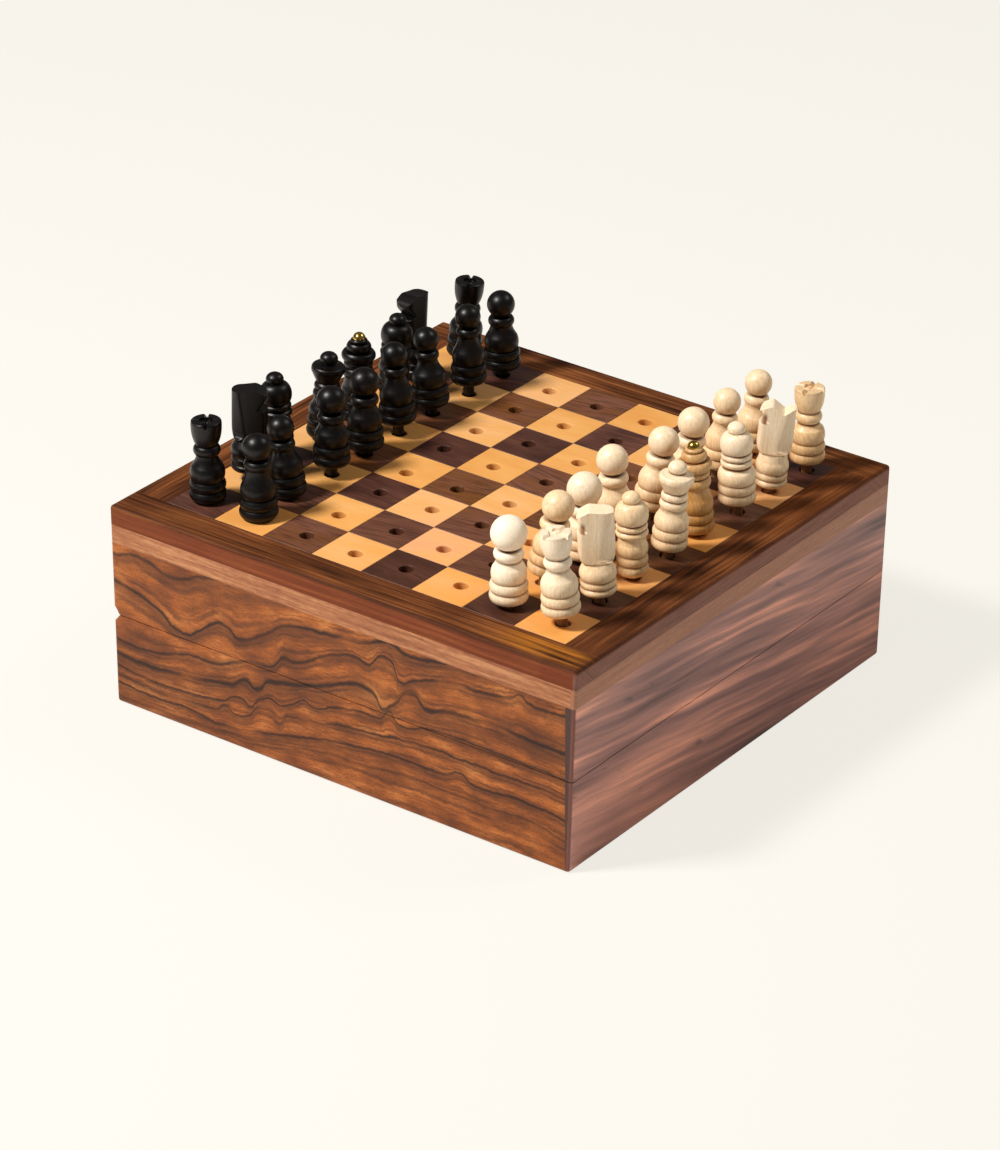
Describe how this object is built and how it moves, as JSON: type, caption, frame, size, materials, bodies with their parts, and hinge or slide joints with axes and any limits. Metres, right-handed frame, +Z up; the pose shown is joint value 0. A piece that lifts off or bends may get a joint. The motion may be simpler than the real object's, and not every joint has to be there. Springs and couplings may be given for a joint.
{
  "type": "pegged travel chess box",
  "caption": "Square wooden chess box: a base and a hinged lid with a drilled chessboard on top, and turned men that stand in its holes on pegs.",
  "frame": {"origin": "middle of the closed box's underside", "axes": "+Z up, +X from the hinge side to the opening side, -Y towards the viewer on the box's long-grained front; black stands on the hinge side, white on the opening side"},
  "size_m": [0.127, 0.127, 0.0732],
  "materials": {
    "base_wood": "oiled dark figured hardwood",
    "lid_wood": "oiled red-brown figured hardwood",
    "plywood": "plain sanded panel",
    "felt": "short felt",
    "backing_wood": "oiled pale sapwood",
    "border_wood": "oiled dark red-brown hardwood",
    "light_square_wood": "oiled golden maple",
    "dark_square_wood": "oiled dark brown hardwood",
    "brass": "polished",
    "boxwood": "plain turned pale wood",
    "ebonised_wood": "black stained, half gloss"
  },
  "bodies": {
    "base": {"base_front_wall": "base_wood", "base_back_wall": "base_wood", "base_opening_wall": "base_wood", "base_hinge_wall": "base_wood", "bottom_panel": "plywood", "felt_lining": "felt", "base_hinge_leaves": "brass", "hinge_pins": "brass", "base_hinge_screws": "brass"},
    "lid": {"lid_front_wall": "lid_wood", "lid_back_wall": "lid_wood", "lid_opening_wall": "lid_wood", "lid_hinge_wall": "lid_wood", "backing_board": "backing_wood", "border_front": "border_wood", "border_back": "border_wood", "border_left": "border_wood", "border_right": "border_wood", "light_squares": "light_square_wood", "dark_squares": "dark_square_wood", "lid_hinge_leaves": "brass", "lid_hinge_screws": "brass"},
    "white_rook_1_body": {"white_rook_1": "boxwood"},
    "white_knight_1_body": {"white_knight_1": "boxwood"},
    "white_bishop_1_body": {"white_bishop_1": "boxwood"},
    "white_queen_body": {"white_queen": "boxwood"},
    "white_king_body": {"white_king": "boxwood", "white_king_finial": "brass"},
    "white_bishop_2_body": {"white_bishop_2": "boxwood"},
    "white_knight_2_body": {"white_knight_2": "boxwood"},
    "white_rook_2_body": {"white_rook_2": "boxwood"},
    "white_pawn_1_body": {"white_pawn_1": "boxwood"},
    "white_pawn_2_body": {"white_pawn_2": "boxwood"},
    "white_pawn_3_body": {"white_pawn_3": "boxwood"},
    "white_pawn_4_body": {"white_pawn_4": "boxwood"},
    "white_pawn_5_body": {"white_pawn_5": "boxwood"},
    "white_pawn_6_body": {"white_pawn_6": "boxwood"},
    "white_pawn_7_body": {"white_pawn_7": "boxwood"},
    "white_pawn_8_body": {"white_pawn_8": "boxwood"},
    "black_rook_1_body": {"black_rook_1": "ebonised_wood"},
    "black_knight_1_body": {"black_knight_1": "ebonised_wood"},
    "black_bishop_1_body": {"black_bishop_1": "ebonised_wood"},
    "black_queen_body": {"black_queen": "ebonised_wood"},
    "black_king_body": {"black_king": "ebonised_wood", "black_king_finial": "brass"},
    "black_bishop_2_body": {"black_bishop_2": "ebonised_wood"},
    "black_knight_2_body": {"black_knight_2": "ebonised_wood"},
    "black_rook_2_body": {"black_rook_2": "ebonised_wood"},
    "black_pawn_1_body": {"black_pawn_1": "ebonised_wood"},
    "black_pawn_2_body": {"black_pawn_2": "ebonised_wood"},
    "black_pawn_3_body": {"black_pawn_3": "ebonised_wood"},
    "black_pawn_4_body": {"black_pawn_4": "ebonised_wood"},
    "black_pawn_5_body": {"black_pawn_5": "ebonised_wood"},
    "black_pawn_6_body": {"black_pawn_6": "ebonised_wood"},
    "black_pawn_7_body": {"black_pawn_7": "ebonised_wood"},
    "black_pawn_8_body": {"black_pawn_8": "ebonised_wood"}
  },
  "joints": [
    {"name": "lid_hinge", "type": "hinge", "parent": "base", "child": "lid", "pos_m": [-0.06096, 0, 0.0224], "axis": [0, -1, 0], "range_deg": [0, 100]},
    {"name": "white_rook_1_lift", "type": "slide", "parent": "lid", "child": "white_rook_1_body", "axis": [0, 0, 1], "range_m": [0, 0.03]},
    {"name": "white_knight_1_lift", "type": "slide", "parent": "lid", "child": "white_knight_1_body", "axis": [0, 0, 1], "range_m": [0, 0.03]},
    {"name": "white_bishop_1_lift", "type": "slide", "parent": "lid", "child": "white_bishop_1_body", "axis": [0, 0, 1], "range_m": [0, 0.03]},
    {"name": "white_queen_lift", "type": "slide", "parent": "lid", "child": "white_queen_body", "axis": [0, 0, 1], "range_m": [0, 0.03]},
    {"name": "white_king_lift", "type": "slide", "parent": "lid", "child": "white_king_body", "axis": [0, 0, 1], "range_m": [0, 0.03]},
    {"name": "white_bishop_2_lift", "type": "slide", "parent": "lid", "child": "white_bishop_2_body", "axis": [0, 0, 1], "range_m": [0, 0.03]},
    {"name": "white_knight_2_lift", "type": "slide", "parent": "lid", "child": "white_knight_2_body", "axis": [0, 0, 1], "range_m": [0, 0.03]},
    {"name": "white_rook_2_lift", "type": "slide", "parent": "lid", "child": "white_rook_2_body", "axis": [0, 0, 1], "range_m": [0, 0.03]},
    {"name": "white_pawn_1_lift", "type": "slide", "parent": "lid", "child": "white_pawn_1_body", "axis": [0, 0, 1], "range_m": [0, 0.03]},
    {"name": "white_pawn_2_lift", "type": "slide", "parent": "lid", "child": "white_pawn_2_body", "axis": [0, 0, 1], "range_m": [0, 0.03]},
    {"name": "white_pawn_3_lift", "type": "slide", "parent": "lid", "child": "white_pawn_3_body", "axis": [0, 0, 1], "range_m": [0, 0.03]},
    {"name": "white_pawn_4_lift", "type": "slide", "parent": "lid", "child": "white_pawn_4_body", "axis": [0, 0, 1], "range_m": [0, 0.03]},
    {"name": "white_pawn_5_lift", "type": "slide", "parent": "lid", "child": "white_pawn_5_body", "axis": [0, 0, 1], "range_m": [0, 0.03]},
    {"name": "white_pawn_6_lift", "type": "slide", "parent": "lid", "child": "white_pawn_6_body", "axis": [0, 0, 1], "range_m": [0, 0.03]},
    {"name": "white_pawn_7_lift", "type": "slide", "parent": "lid", "child": "white_pawn_7_body", "axis": [0, 0, 1], "range_m": [0, 0.03]},
    {"name": "white_pawn_8_lift", "type": "slide", "parent": "lid", "child": "white_pawn_8_body", "axis": [0, 0, 1], "range_m": [0, 0.03]},
    {"name": "black_rook_1_lift", "type": "slide", "parent": "lid", "child": "black_rook_1_body", "axis": [0, 0, 1], "range_m": [0, 0.03]},
    {"name": "black_knight_1_lift", "type": "slide", "parent": "lid", "child": "black_knight_1_body", "axis": [0, 0, 1], "range_m": [0, 0.03]},
    {"name": "black_bishop_1_lift", "type": "slide", "parent": "lid", "child": "black_bishop_1_body", "axis": [0, 0, 1], "range_m": [0, 0.03]},
    {"name": "black_queen_lift", "type": "slide", "parent": "lid", "child": "black_queen_body", "axis": [0, 0, 1], "range_m": [0, 0.03]},
    {"name": "black_king_lift", "type": "slide", "parent": "lid", "child": "black_king_body", "axis": [0, 0, 1], "range_m": [0, 0.03]},
    {"name": "black_bishop_2_lift", "type": "slide", "parent": "lid", "child": "black_bishop_2_body", "axis": [0, 0, 1], "range_m": [0, 0.03]},
    {"name": "black_knight_2_lift", "type": "slide", "parent": "lid", "child": "black_knight_2_body", "axis": [0, 0, 1], "range_m": [0, 0.03]},
    {"name": "black_rook_2_lift", "type": "slide", "parent": "lid", "child": "black_rook_2_body", "axis": [0, 0, 1], "range_m": [0, 0.03]},
    {"name": "black_pawn_1_lift", "type": "slide", "parent": "lid", "child": "black_pawn_1_body", "axis": [0, 0, 1], "range_m": [0, 0.03]},
    {"name": "black_pawn_2_lift", "type": "slide", "parent": "lid", "child": "black_pawn_2_body", "axis": [0, 0, 1], "range_m": [0, 0.03]},
    {"name": "black_pawn_3_lift", "type": "slide", "parent": "lid", "child": "black_pawn_3_body", "axis": [0, 0, 1], "range_m": [0, 0.03]},
    {"name": "black_pawn_4_lift", "type": "slide", "parent": "lid", "child": "black_pawn_4_body", "axis": [0, 0, 1], "range_m": [0, 0.03]},
    {"name": "black_pawn_5_lift", "type": "slide", "parent": "lid", "child": "black_pawn_5_body", "axis": [0, 0, 1], "range_m": [0, 0.03]},
    {"name": "black_pawn_6_lift", "type": "slide", "parent": "lid", "child": "black_pawn_6_body", "axis": [0, 0, 1], "range_m": [0, 0.03]},
    {"name": "black_pawn_7_lift", "type": "slide", "parent": "lid", "child": "black_pawn_7_body", "axis": [0, 0, 1], "range_m": [0, 0.03]},
    {"name": "black_pawn_8_lift", "type": "slide", "parent": "lid", "child": "black_pawn_8_body", "axis": [0, 0, 1], "range_m": [0, 0.03]}
  ]
}
